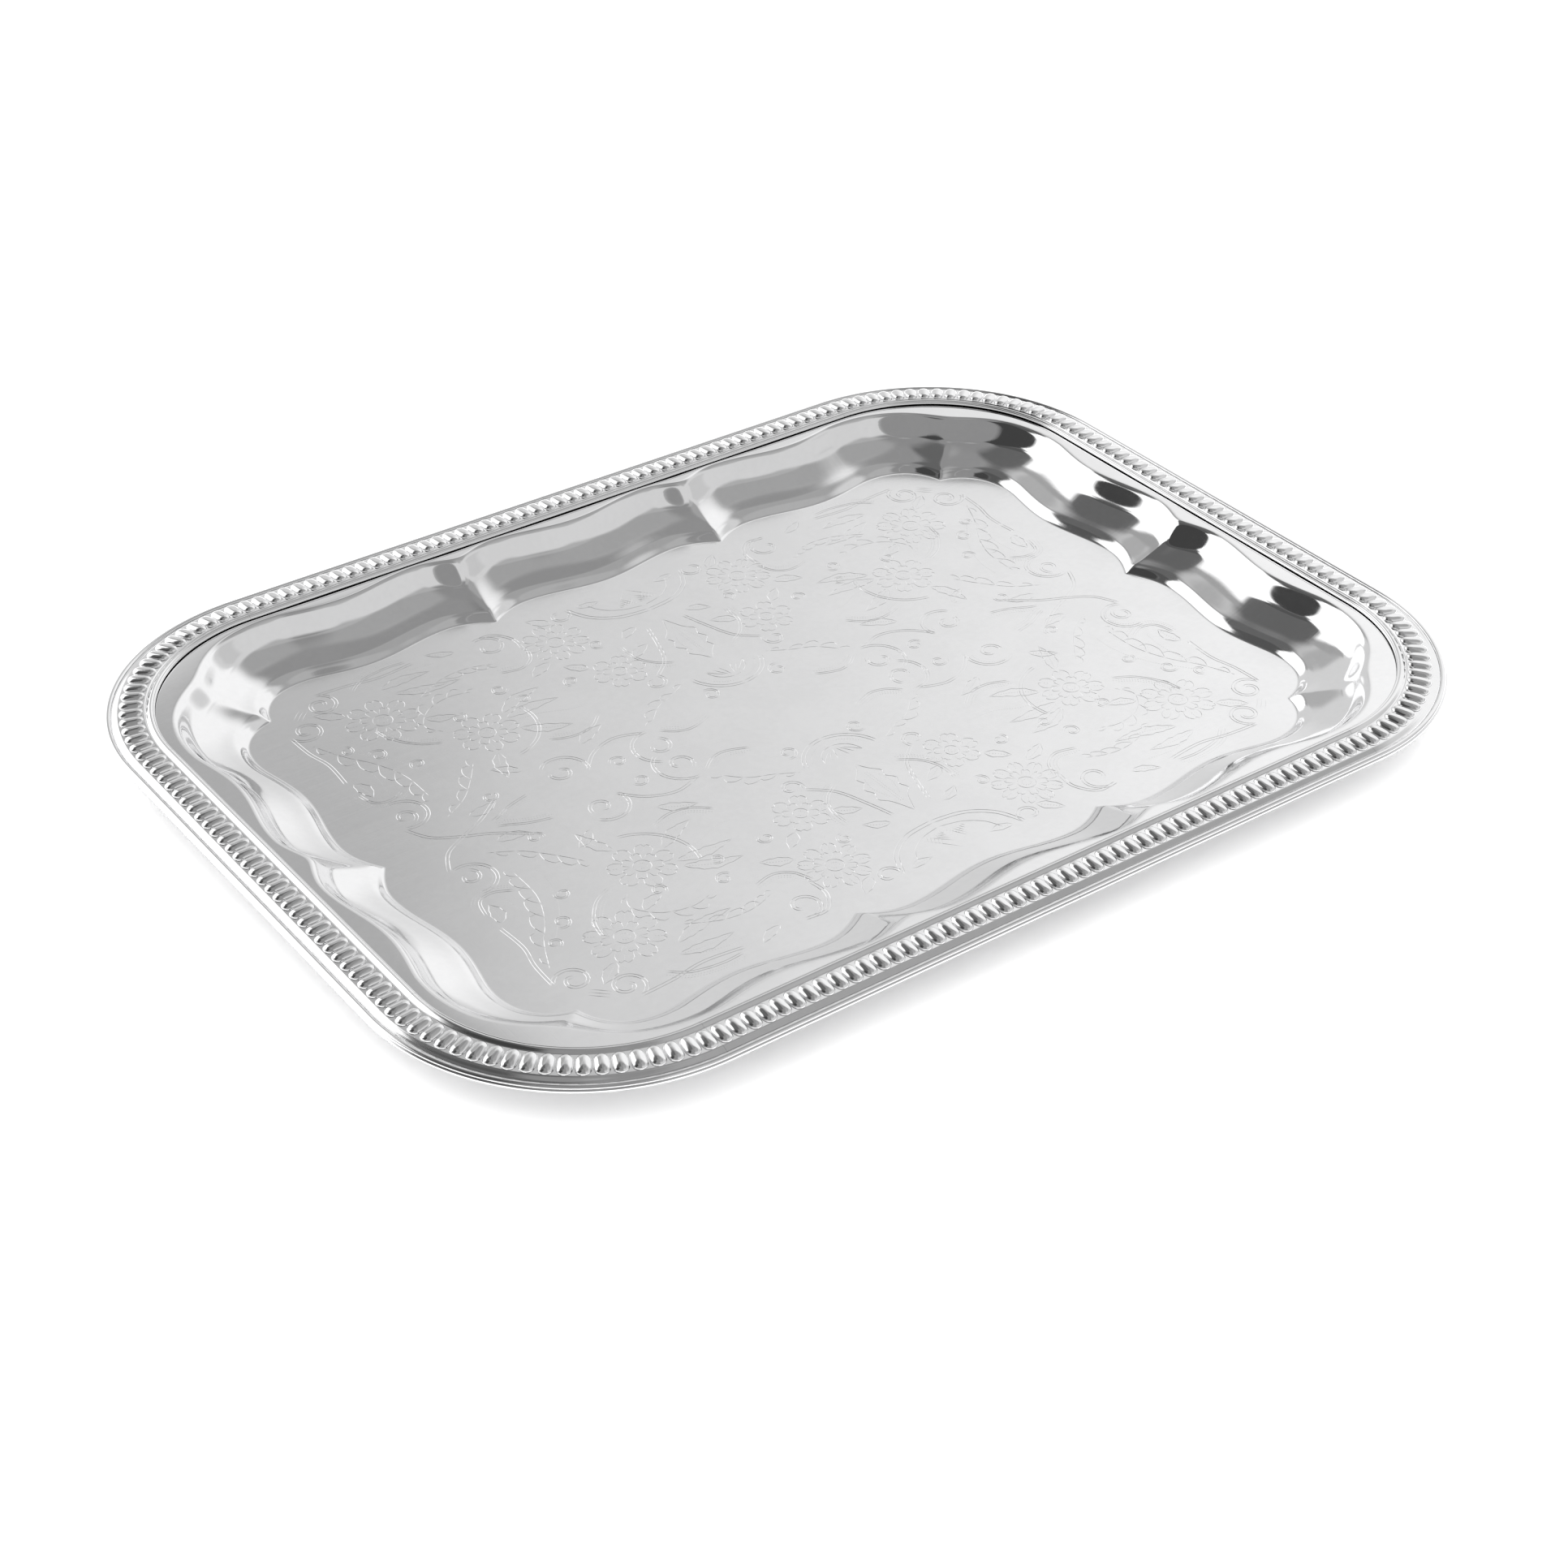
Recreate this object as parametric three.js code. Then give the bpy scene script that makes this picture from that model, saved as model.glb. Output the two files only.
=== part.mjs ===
// Rectangular serving salver with a fluted wall and an applied gadroon border.
// Units are millimetres. +Z is up, X runs along the long side, and the origin is
// at the centre of the flat base that the salver stands on.
import * as THREE from 'three';

// ---- Driving dimensions ----------------------------------------------------

const LENGTH = 406;             // over the edge wire, along X
const WIDTH = 305;              // over the edge wire, along Y
const CORNER_RADIUS = 75;       // of the outer edge, in plan
const SHEET = 0.7;              // thickness of the pressed tray sheet
const JOINT_GAP = 0.3;          // solder line left between neighbouring pieces

const BORDER_WIDTH = 17;        // outer edge to the inner line of the border
const FLANGE_TOP = 15;          // top of the flange at the inner line
const FLANGE_SLOPE = 0.06;      // the flange falls outward by this much per mm
const EDGE_WIRE_WIDTH = 2.6;

const BAY_COUNT = 10;
const BAY = 97;                 // length of one bay along the well outline
const WELL_HALF_WIDTH = 104.5;  // centre to the long side's cusps
const LOBE_OUT = 6.4;           // how far each bay swells beyond its cusps
const HUMP_OUT = 2;             // how far it stands out at its middle
const LOBE_AT = 0.17 * BAY;     // distance from a cusp to the fullest point

const BEAD_HEIGHT = 1.3;
const BEADS_LONG_SIDE = 50;
const BEADS_SHORT_SIDE = 30;
const BEADS_CORNER = 20;

// ---- Values that follow from them ------------------------------------------

// The well outline swells in and out around a rounded rectangle that carries ten
// equal bays: three on each long side and two on each short side, with a cusp at
// each corner. So the long side is one bay longer than the short side, and the
// bays' equal length fixes the corner radius.
const WELL_HALF_LENGTH = WELL_HALF_WIDTH + BAY / 2;
const WELL_RADIUS = (WELL_HALF_WIDTH - BAY) / (1 - Math.PI / 4);
const wellFrame = {
  halfX: WELL_HALF_LENGTH, halfY: WELL_HALF_WIDTH, radius: WELL_RADIUS,
};

const insetFrame = (inset) => ({
  halfX: LENGTH / 2 - inset, halfY: WIDTH / 2 - inset, radius: CORNER_RADIUS - inset,
});

// ---- Plan geometry ---------------------------------------------------------

// Point and outward normal at arc length `s` on a rounded rectangle. `s` starts at
// the middle of the +Y side and runs clockwise seen from above.
function pointOnFrame(frame, s) {
  const straightX = frame.halfX - frame.radius;
  const straightY = frame.halfY - frame.radius;
  const arc = frame.radius * Math.PI / 2;
  const quarters = [
    { signX: 1, signY: 1, along: 'x' },
    { signX: 1, signY: -1, along: 'y' },
    { signX: -1, signY: -1, along: 'x' },
    { signX: -1, signY: 1, along: 'y' },
  ];
  const quarterLength = straightX + straightY + arc;
  const turns = ((s / quarterLength) % 4 + 4) % 4;
  const quarter = quarters[Math.floor(turns)];
  const rest = (turns - Math.floor(turns)) * quarterLength;
  const first = quarter.along === 'x' ? straightX : straightY;
  const second = quarter.along === 'x' ? straightY : straightX;
  let along = first;
  let turn = Math.PI / 2;
  let across = second;
  if (rest < first) {
    along = rest;
    turn = 0;
  } else if (rest < first + arc) {
    turn = (rest - first) / frame.radius;
  } else {
    across = second - (rest - first - arc);
  }
  const a = along + frame.radius * Math.sin(turn);
  const b = across + frame.radius * Math.cos(turn);
  const local = { a, b, normalA: Math.sin(turn), normalB: Math.cos(turn) };
  const swap = quarter.along === 'y';
  return {
    x: quarter.signX * (swap ? local.b : local.a),
    y: quarter.signY * (swap ? local.a : local.b),
    normalX: quarter.signX * (swap ? local.normalB : local.normalA),
    normalY: quarter.signY * (swap ? local.normalA : local.normalB),
  };
}

// Distance from a point, along its normal, out to a larger rounded rectangle.
function distanceToFrame(start, frame) {
  const x = Math.abs(start.x);
  const y = Math.abs(start.y);
  const dirX = Math.abs(start.normalX);
  const dirY = Math.abs(start.normalY);
  const cornerX = frame.halfX - frame.radius - x;
  const cornerY = frame.halfY - frame.radius - y;
  const toSideX = dirX > 0 ? (frame.halfX - x) / dirX : Infinity;
  const toSideY = dirY > 0 ? (frame.halfY - y) / dirY : Infinity;
  if (toSideX * dirY <= cornerY) return toSideX;
  if (toSideY * dirX <= cornerX) return toSideY;
  const along = cornerX * dirX + cornerY * dirY;
  const aside = cornerX * dirY - cornerY * dirX;
  return along + Math.sqrt(frame.radius ** 2 - aside ** 2);
}

// How far the well outline stands outside its frame, at `s` along it. Each cusp is
// a point, each bay swells to LOBE_OUT on both sides of a shallower middle.
function wellSwell(s) {
  const fromCusp = ((s + BAY / 2) % BAY + BAY) % BAY;
  const near = Math.min(fromCusp, BAY - fromCusp);
  if (near < LOBE_AT) return LOBE_OUT * Math.sin(Math.PI / 2 * near / LOBE_AT);
  const toMiddle = (near - LOBE_AT) / (BAY / 2 - LOBE_AT);
  return HUMP_OUT + (LOBE_OUT - HUMP_OUT) * (1 + Math.cos(Math.PI * toMiddle)) / 2;
}

// ---- Closed meshes ---------------------------------------------------------

function meshOf(name, positions, triangles, material) {
  const geometry = new THREE.BufferGeometry();
  geometry.setAttribute('position', new THREE.Float32BufferAttribute(positions, 3));
  geometry.setIndex(triangles);
  geometry.computeVertexNormals();
  const mesh = new THREE.Mesh(geometry, material);
  mesh.name = name;
  return mesh;
}

// Joins equal closed rings, listed from the top pole out and back to the bottom pole.
function loftBetweenPoles(name, topPole, rings, bottomPole, material) {
  const count = rings[0].length;
  const positions = [...topPole, ...rings.flat(2), ...bottomPole];
  const bottomIndex = 1 + rings.length * count;
  const at = (ring, i) => 1 + ring * count + (i % count);
  const triangles = [];
  for (let i = 0; i < count; i += 1) {
    triangles.push(0, at(0, i + 1), at(0, i));
    triangles.push(bottomIndex, at(rings.length - 1, i), at(rings.length - 1, i + 1));
    for (let ring = 0; ring < rings.length - 1; ring += 1) {
      triangles.push(at(ring, i), at(ring, i + 1), at(ring + 1, i));
      triangles.push(at(ring, i + 1), at(ring + 1, i + 1), at(ring + 1, i));
    }
  }
  return meshOf(name, positions, triangles, material);
}

// ---- Tray body -------------------------------------------------------------

const STATIONS_PER_BAY = 24;

// Section of the wall, as distance out from its foot and height above the well: a low
// step, a wide gentle hollow, a steeper band, and a turn over onto the flange.
const WALL_SECTION = [
  { run: 0, rise: 0 },
  { run: 1, rise: 0.2 },
  { run: 2.8, rise: 1.6 },
  { run: 5, rise: 2.7 },
  { run: 9, rise: 3.8 },
  { run: 15, rise: 6.3 },
  { run: 17.5, rise: 7.8 },
  { run: 19.5, rise: 10.1 },
  { run: 21.3, rise: 12.7 },
  { run: 22.6, rise: 13.9 },
  { run: 24.3, rise: FLANGE_TOP - SHEET },
];

// Inset and height of the flange's rows, out to its rim under the edge wire.
const FLANGE_ROWS = [12.5, EDGE_WIRE_WIDTH + JOINT_GAP].map((inset) => ({
  frame: insetFrame(inset), height: FLANGE_TOP - FLANGE_SLOPE * (BORDER_WIDTH - inset),
}));

function makeTrayBody(material) {
  const perimeter = BAY_COUNT * BAY;
  const count = BAY_COUNT * STATIONS_PER_BAY;
  const stations = Array.from({ length: count }, (_, i) => {
    const s = (i / count) * perimeter;
    return { ...pointOnFrame(wellFrame, s), swell: wellSwell(s) };
  });
  const place = (station, out, height) => [
    station.x + station.normalX * out, station.y + station.normalY * out, height,
  ];
  const wallTop = WALL_SECTION.map(({ run, rise }) => stations.map(
    (station) => place(station, station.swell + run, SHEET + rise),
  ));
  const flangeTop = FLANGE_ROWS.map(({ frame, height }) => stations.map(
    (station) => place(station, distanceToFrame(station, frame), height),
  ));
  // The underside follows the section at the sheet's thickness, square to its slope.
  const wallUnder = WALL_SECTION.map(({ run, rise }, i) => {
    const before = WALL_SECTION[Math.max(0, i - 1)];
    const after = WALL_SECTION[Math.min(WALL_SECTION.length - 1, i + 1)];
    const level = i === 0 || i === WALL_SECTION.length - 1;
    const tilt = level ? 0 : Math.atan2(after.rise - before.rise, after.run - before.run);
    return stations.map((station) => place(
      station,
      station.swell + run + SHEET * Math.sin(tilt),
      rise + SHEET * (1 - Math.cos(tilt)),
    ));
  });
  const flangeUnder = flangeTop.map((row) => row.map(([x, y, z]) => [x, y, z - SHEET]));
  const rings = [...wallTop, ...flangeTop, ...flangeUnder.reverse(), ...wallUnder.reverse()];
  return loftBetweenPoles('tray_body', [0, 0, SHEET], rings, [0, 0, 0], material);
}

// ---- Gadroon border --------------------------------------------------------

const BEAD_OUTER = 5.1;         // distance of the beads' outer ends from the outer edge
const BEAD_INNER = 13.3;        // and of their inner ends
const BEAD_CROWN = 1.9;         // length of each bead's sloping end
const GROUND = 0.7;             // thickness of the border under the beads

const flangeHeightAt = (inset) => FLANGE_TOP - FLANGE_SLOPE * (BORDER_WIDTH - inset);

// Section of the border, as distance in from the outer edge and height.
const borderUnder = (inset) => flangeHeightAt(inset) + JOINT_GAP;
const BORDER_SECTION = [
  { inset: EDGE_WIRE_WIDTH + JOINT_GAP, above: 0 },
  { inset: EDGE_WIRE_WIDTH + JOINT_GAP, above: 0.15 },
  { inset: BEAD_OUTER, above: GROUND },
  { inset: BEAD_INNER, above: GROUND },
  { inset: 13.9, above: 0.3 },
  { inset: 15.4, above: 1.1 },
  { inset: BORDER_WIDTH, above: 0.5 },
  { inset: BORDER_WIDTH, above: 0 },
];
const BEAD_FACE = 2;            // the section's face that carries the beads

// A border length from a list of stations. Each station is a point on the outer edge
// with its outward normal, and one bead fills each space between two stations.
function makeBorder(name, stations, material) {
  const positions = [];
  const triangles = [];
  const put = (station, inset, height) => {
    positions.push(station.x - station.normalX * inset, station.y - station.normalY * inset, height);
    return positions.length / 3 - 1;
  };
  const rings = stations.map((station) => BORDER_SECTION.map(
    ({ inset, above }) => put(station, inset, borderUnder(inset) + above),
  ));
  const sides = BORDER_SECTION.length;
  for (let i = 0; i < rings.length - 1; i += 1) {
    for (let face = 0; face < sides; face += 1) {
      const a = rings[i][face];
      const b = rings[i][(face + 1) % sides];
      const c = rings[i + 1][(face + 1) % sides];
      const d = rings[i + 1][face];
      if (face === BEAD_FACE) {
        const middle = stations[i].middle;
        const crest = GROUND + BEAD_HEIGHT;
        const outerEnd = BEAD_OUTER + BEAD_CROWN;
        const innerEnd = BEAD_INNER - BEAD_CROWN;
        const e = put(middle, outerEnd, borderUnder(outerEnd) + crest);
        const f = put(middle, innerEnd, borderUnder(innerEnd) + crest);
        triangles.push(a, b, f, a, f, e, b, c, f, c, e, f, c, d, e, d, a, e);
      } else {
        triangles.push(a, b, c, a, c, d);
      }
    }
  }
  const first = rings[0];
  const last = rings[rings.length - 1];
  for (let i = 1; i < sides - 1; i += 1) {
    triangles.push(first[0], first[i + 1], first[i]);
    triangles.push(last[0], last[i], last[i + 1]);
  }
  return meshOf(name, positions, triangles, material);
}

// Stations along the outer edge from arc length `from` to `to`, one bead apart.
function borderStations(from, to, beads) {
  const frame = insetFrame(0);
  const start = from + JOINT_GAP / 2;
  const pitch = (to - from - JOINT_GAP) / beads;
  return Array.from({ length: beads + 1 }, (_, i) => ({
    ...pointOnFrame(frame, start + i * pitch),
    middle: pointOnFrame(frame, start + (i + 0.5) * pitch),
  }));
}

// ---- Edge wire -------------------------------------------------------------

// Section of the wire: inset from the outer edge, and height above the flange's rim.
const EDGE_SECTION = [
  { inset: EDGE_WIRE_WIDTH, height: 0.4 },
  { inset: EDGE_WIRE_WIDTH, height: -0.8 },
  { inset: 1.9, height: -1.3 },
  { inset: 0.7, height: -1.3 },
  { inset: 0, height: -0.8 },
  { inset: 0, height: -0.2 },
  { inset: 0.6, height: 0.5 },
  { inset: 1.7, height: 0.7 },
];
const CORNER_STEPS = 20;

// Half of the wire, from the middle of one long side round to the other.
function makeEdgeWire(name, startAt, material) {
  const frame = insetFrame(0);
  const straightX = frame.halfX - frame.radius;
  const straightY = frame.halfY - frame.radius;
  const arc = frame.radius * Math.PI / 2;
  const half = 2 * (straightX + straightY + arc);
  const places = [JOINT_GAP / 2, half - JOINT_GAP / 2];
  for (const cornerStart of [straightX, straightX + arc + 2 * straightY]) {
    for (let i = 0; i <= CORNER_STEPS; i += 1) places.push(cornerStart + (i / CORNER_STEPS) * arc);
  }
  places.sort((a, b) => a - b);
  const rimHeight = flangeHeightAt(EDGE_WIRE_WIDTH + JOINT_GAP);
  const sides = EDGE_SECTION.length;
  const positions = [];
  for (const s of places) {
    const { x, y, normalX, normalY } = pointOnFrame(frame, startAt * half + s);
    for (const { inset, height } of EDGE_SECTION) {
      positions.push(x - normalX * inset, y - normalY * inset, rimHeight + height);
    }
  }
  const triangles = [];
  for (let i = 0; i < places.length - 1; i += 1) {
    for (let side = 0; side < sides; side += 1) {
      const a = i * sides + side;
      const b = i * sides + (side + 1) % sides;
      triangles.push(a, b, b + sides, a, b + sides, a + sides);
    }
  }
  const last = (places.length - 1) * sides;
  for (let i = 1; i < sides - 1; i += 1) {
    triangles.push(0, i + 1, i);
    triangles.push(last, last + i, last + i + 1);
  }
  return meshOf(name, positions, triangles, material);
}

// ---- Assembly --------------------------------------------------------------

const plated = (color, roughness) => new THREE.MeshStandardMaterial({
  color, roughness, metalness: 1,
});
const bodyMaterial = plated(0xd9dadc, 0.12);
const borderMaterial = plated(0xe4e5e7, 0.1);
const edgeMaterial = plated(0xdcdde0, 0.1);

const salver = new THREE.Group();
salver.add(makeTrayBody(bodyMaterial));

// Border lengths in order round the edge, clockwise from the left end of the back side.
const outer = insetFrame(0);
const longSide = 2 * (outer.halfX - outer.radius);
const shortSide = 2 * (outer.halfY - outer.radius);
const cornerArc = outer.radius * Math.PI / 2;
const borderLengths = [
  { name: 'border_back', length: longSide, beads: BEADS_LONG_SIDE },
  { name: 'border_corner_back_right', length: cornerArc, beads: BEADS_CORNER },
  { name: 'border_right', length: shortSide, beads: BEADS_SHORT_SIDE },
  { name: 'border_corner_front_right', length: cornerArc, beads: BEADS_CORNER },
  { name: 'border_front', length: longSide, beads: BEADS_LONG_SIDE },
  { name: 'border_corner_front_left', length: cornerArc, beads: BEADS_CORNER },
  { name: 'border_left', length: shortSide, beads: BEADS_SHORT_SIDE },
  { name: 'border_corner_back_left', length: cornerArc, beads: BEADS_CORNER },
];
let borderStart = -longSide / 2;
for (const { name, length, beads } of borderLengths) {
  const stations = borderStations(borderStart, borderStart + length, beads);
  salver.add(makeBorder(name, stations, borderMaterial));
  borderStart += length;
}

salver.add(makeEdgeWire('edge_wire_right', 0, edgeMaterial));
salver.add(makeEdgeWire('edge_wire_left', 1, edgeMaterial));

export default salver;
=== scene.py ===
import math

import bmesh
import bpy
import numpy as np
from mathutils import Matrix, Vector
from mathutils.geometry import delaunay_2d_cdt
from mathutils.kdtree import KDTree


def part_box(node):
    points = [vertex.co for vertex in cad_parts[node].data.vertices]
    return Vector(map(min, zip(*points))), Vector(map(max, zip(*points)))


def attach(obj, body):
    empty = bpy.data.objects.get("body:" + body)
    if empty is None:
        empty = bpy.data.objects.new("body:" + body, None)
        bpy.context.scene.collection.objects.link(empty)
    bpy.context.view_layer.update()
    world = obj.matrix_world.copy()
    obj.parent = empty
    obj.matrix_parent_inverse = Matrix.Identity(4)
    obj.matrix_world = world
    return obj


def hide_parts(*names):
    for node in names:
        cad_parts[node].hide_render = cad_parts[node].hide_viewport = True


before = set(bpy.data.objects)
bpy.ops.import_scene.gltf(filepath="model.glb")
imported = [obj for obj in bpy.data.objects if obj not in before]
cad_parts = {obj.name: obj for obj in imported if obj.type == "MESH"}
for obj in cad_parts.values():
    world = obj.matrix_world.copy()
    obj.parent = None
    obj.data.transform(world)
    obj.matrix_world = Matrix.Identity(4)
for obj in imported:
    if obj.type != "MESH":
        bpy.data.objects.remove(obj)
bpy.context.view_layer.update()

MM = 0.001

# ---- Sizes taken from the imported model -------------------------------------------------

wire_low, wire_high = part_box("edge_wire_right")
tray_low, tray_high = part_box("tray_body")
border_low, border_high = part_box("border_back")
corner_low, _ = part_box("border_corner_back_right")

HALF_LENGTH = wire_high.x / MM
HALF_WIDTH = wire_high.y / MM
JOINT = wire_low.x / MM                              # half the gap at the wire's joint
CORNER_RADIUS = HALF_LENGTH - corner_low.x / MM + JOINT
BORDER_WIDTH = HALF_WIDTH - border_low.y / MM
FLANGE_INSET = HALF_LENGTH - tray_high.x / MM        # edge of the tray sheet, inside the wire
FLANGE_TOP = tray_high.z / MM
WIRE_TOP = wire_high.z / MM
WIRE_BOTTOM = wire_low.z / MM
BEAD_TOP = border_high.z / MM

# ---- Sizes that belong to the shape ----------------------------------------------------

SHEET = 0.7
FLANGE_SLOPE = 0.06
BORDER_LIFT = 0.3              # height of the border's underside above the flange
GROUND = 0.7                   # thickness of the border under its beads
HAIRLINE = 0.03                # half width of a closed joint

BAY = 97.0                     # ten equal bays run round the well's outline
WELL_HALF_WIDTH = 104.5
LOBE_OUT = 6.4                 # how far the outline stands out beside each cusp
HUMP_OUT = 2.0                 # and in the middle of a bay
LOBE_AT = 0.17 * BAY           # distance of a lobe from its cusp
LOBE_FULLNESS = 0.85           # power of the lobe's flank; less is fuller
WELL_RADIUS = (WELL_HALF_WIDTH - BAY) / (1 - math.pi / 4)
well_frame = (WELL_HALF_WIDTH + BAY / 2, WELL_HALF_WIDTH, WELL_RADIUS)


def inset_frame(inset):
    return (HALF_LENGTH - inset, HALF_WIDTH - inset, CORNER_RADIUS - inset)


# ---- Plan geometry ---------------------------------------------------------------------

def on_frame(rounded, s):
    """Points and outward normals at arc lengths s, clockwise from the middle of +Y."""
    half_x, half_y, radius = rounded
    straight_x, straight_y = half_x - radius, half_y - radius
    arc = radius * math.pi / 2
    turns = np.asarray(s, float) / (straight_x + straight_y + arc) % 4
    quarter = np.floor(turns).astype(int) % 4
    rest = (turns - np.floor(turns)) * (straight_x + straight_y + arc)
    sign_x = np.array([1, 1, -1, -1])[quarter]
    sign_y = np.array([1, -1, -1, 1])[quarter]
    swapped = quarter % 2 == 1
    first = np.where(swapped, straight_y, straight_x)
    second = np.where(swapped, straight_x, straight_y)
    turn = np.clip((rest - first) / radius, 0, math.pi / 2)
    a = np.minimum(rest, first) + radius * np.sin(turn)
    b = second - np.maximum(rest - first - arc, 0) + radius * np.cos(turn)
    x = sign_x * np.where(swapped, b, a)
    y = sign_y * np.where(swapped, a, b)
    normal_x = sign_x * np.where(swapped, np.cos(turn), np.sin(turn))
    normal_y = sign_y * np.where(swapped, np.sin(turn), np.cos(turn))
    return x, y, normal_x, normal_y


def reach(x, y, normal_x, normal_y, rounded):
    """Distance along the normal from each point out to a larger rounded rectangle."""
    half_x, half_y, radius = rounded
    x, y, dir_x, dir_y = map(np.abs, (x, y, normal_x, normal_y))
    corner_x, corner_y = half_x - radius - x, half_y - radius - y
    to_x = (half_x - x) / np.maximum(dir_x, 1e-9)
    to_y = (half_y - y) / np.maximum(dir_y, 1e-9)
    along = corner_x * dir_x + corner_y * dir_y
    aside = corner_x * dir_y - corner_y * dir_x
    to_arc = along + np.sqrt(np.maximum(radius ** 2 - aside ** 2, 0))
    past_side = np.where(to_y * dir_x <= corner_x, to_y, to_arc)
    return np.where(to_x * dir_y <= corner_y, to_x, past_side)


def swell(s, nose):
    """How far the well's outline stands out of its frame. The cusps get a rounded nose."""
    from_cusp = (s + BAY / 2) % BAY
    near = np.sqrt(np.minimum(from_cusp, BAY - from_cusp) ** 2 + nose ** 2)
    flank = LOBE_OUT * np.sin(math.pi / 2 * np.minimum(near / LOBE_AT, 1)) ** LOBE_FULLNESS
    middle = np.clip((near - LOBE_AT) / (BAY / 2 - LOBE_AT), 0, 1)
    bay = HUMP_OUT + (LOBE_OUT - HUMP_OUT) * (1 + np.cos(math.pi * middle)) / 2
    return np.where(near < LOBE_AT, flank, bay)


# ---- Meshes ----------------------------------------------------------------------------

SHARP_EDGE = math.radians(48)
RIM_TOLERANCE = 2e-6           # metres


def ring_faces(first_ring, rings, count):
    """Quads between closed rings that follow each other, seen from outside the solid."""
    i = np.arange(count)
    after = (i + 1) % count
    quads = []
    for ring in range(rings - 1):
        a = first_ring + ring * count
        b = a + count
        quads.append(np.stack([a + i, a + after, b + after, b + i], 1))
    return np.concatenate(quads).tolist()


def make_piece(name, points, faces, material, node, flat_faces=0):
    """A piece from points in mm. Its first flat_faces faces stay flat, the rest are smooth."""
    mesh = bpy.data.meshes.new(name)
    mesh.from_pydata((np.asarray(points) * MM).tolist(), [], faces)
    mesh.set_sharp_from_angle(angle=SHARP_EDGE)
    smooth = np.ones(len(mesh.polygons), bool)
    smooth[:flat_faces] = False
    mesh.polygons.foreach_set("use_smooth", smooth)
    mesh.materials.append(material)
    mesh.update()
    piece = bpy.data.objects.new(name, mesh)
    bpy.context.scene.collection.objects.link(piece)
    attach(piece, "root")
    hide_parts(node)
    return piece


# ---- Engraving: cut lines drawn in one quarter of the well and mirrored ----------------

CUT_HALF_WIDTH = 0.13
CUT_DEPTH = 0.06
CUT_TAPER = 1.6                # length over which a cut runs out to its point
CUT_LEAST = 0.3                # share of its width that a short cut keeps between its ends
ARC_STEP = 0.8
FLOW_STEP = 1.1
DEPTH_STEP = 0.12              # spacing of the samples that the floor's heights come from
MERGE_WITHIN = 1e-5
PETAL_SPREAD = 0.92            # share of its place round the flower that a petal takes
PETAL_NOTCH = 0.09
INNER_PETALS = 0.62            # size of the inner ring against the outer one


def arc(x, y, radius, start, end, shrink=1.0):
    """An arc in degrees, or a spiral when the radius shrinks along it."""
    steps = max(4, int(abs(math.radians(end - start)) * radius * (1 + shrink) / 2 / ARC_STEP))
    t = np.linspace(0, 1, steps + 1)
    angle = np.radians(start + (end - start) * t)
    r = radius * (1 + (shrink - 1) * t)
    return np.stack([x + r * np.cos(angle), y + r * np.sin(angle)], 1)


def flow(*anchors, step=FLOW_STEP):
    """A smooth line through a few anchor points."""
    p = np.array([anchors[0], *anchors, anchors[-1]], float)
    out = []
    for i in range(1, len(p) - 2):
        a, b, c, d = p[i - 1:i + 3]
        steps = max(2, int(np.linalg.norm(c - b) / step))
        t = np.linspace(0, 1, steps, endpoint=False)[:, None]
        out.append(b + 0.5 * t * ((c - a) + t * ((2 * a - 5 * b + 4 * c - d)
                                                 + t * (3 * b - a - 3 * c + d))))
    return np.concatenate(out + [p[-1:]])


def beside(line, gap):
    """The line moved sideways to its left by the gap."""
    along = np.gradient(line, axis=0)
    along /= np.linalg.norm(along, axis=1)[:, None] + 1e-9
    return line + gap * np.stack([-along[:, 1], along[:, 0]], 1)


def double(line, gap=1.1):
    """Two cuts that run side by side along the line."""
    return [beside(line, gap / 2), beside(line, -gap / 2)]


def dots(line, pitch=0.95, length=0.42):
    """A row of short pecked cuts along a line."""
    seg = np.linalg.norm(np.diff(line, axis=0), axis=1)
    at = np.concatenate([[0], np.cumsum(seg)])
    out = []
    for middle in np.arange(pitch / 2, at[-1], pitch):
        ends = [middle - length / 2, middle + length / 2]
        out.append(np.stack([np.interp(ends, at, line[:, k]) for k in (0, 1)], 1))
    return out


def leaf(base, tip, width, bend=0.0, notches=3):
    """A pointed leaf with notched sides and a pecked vein."""
    base, tip = np.array(base, float), np.array(tip, float)
    length = np.linalg.norm(tip - base)
    t = np.linspace(0, 1, max(7, int(length / 1.3)))
    forward = (tip - base) / length
    across = np.array([-forward[1], forward[0]])
    spine = base + np.outer(t, tip - base) + np.outer(bend * np.sin(math.pi * t), across)
    swelling = np.sin(math.pi * t ** 0.8) * (1 - 0.3 * (t * notches % 1)) * width
    sides = [spine + np.outer(k * swelling, across) for k in (1, -1)]
    return sides + dots(spine[1:-1])


def flower(x, y, radius, petals, turn=0.0):
    """An open flower: two rings of petals round a pecked eye."""
    out = []
    for ring, share in ((0, 1.0), (1, INNER_PETALS)):
        for k in range(petals):
            angle = turn + 2 * math.pi * (k + 0.5 * ring) / petals
            half = math.pi / petals * PETAL_SPREAD
            t = np.linspace(-1, 1, 11 if ring == 0 else 7)
            r = radius * share * (0.52 + 0.48 * np.sqrt(1 - t ** 2))
            r = r * (1 - PETAL_NOTCH * (np.abs(t) < 0.15))
            a = angle + half * t
            out.append(np.stack([x + r * np.cos(a), y + r * np.sin(a)], 1))
            if ring == 0:
                outward = radius * np.array([math.cos(angle), math.sin(angle)])
                out += dots(np.array([x, y]) + np.outer([0.68, 0.9], outward))
    out.append(arc(x, y, radius * 0.26, 0, 360))
    out += dots(arc(x, y, radius * 0.13, 0, 300), 0.8)
    return out


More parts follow.
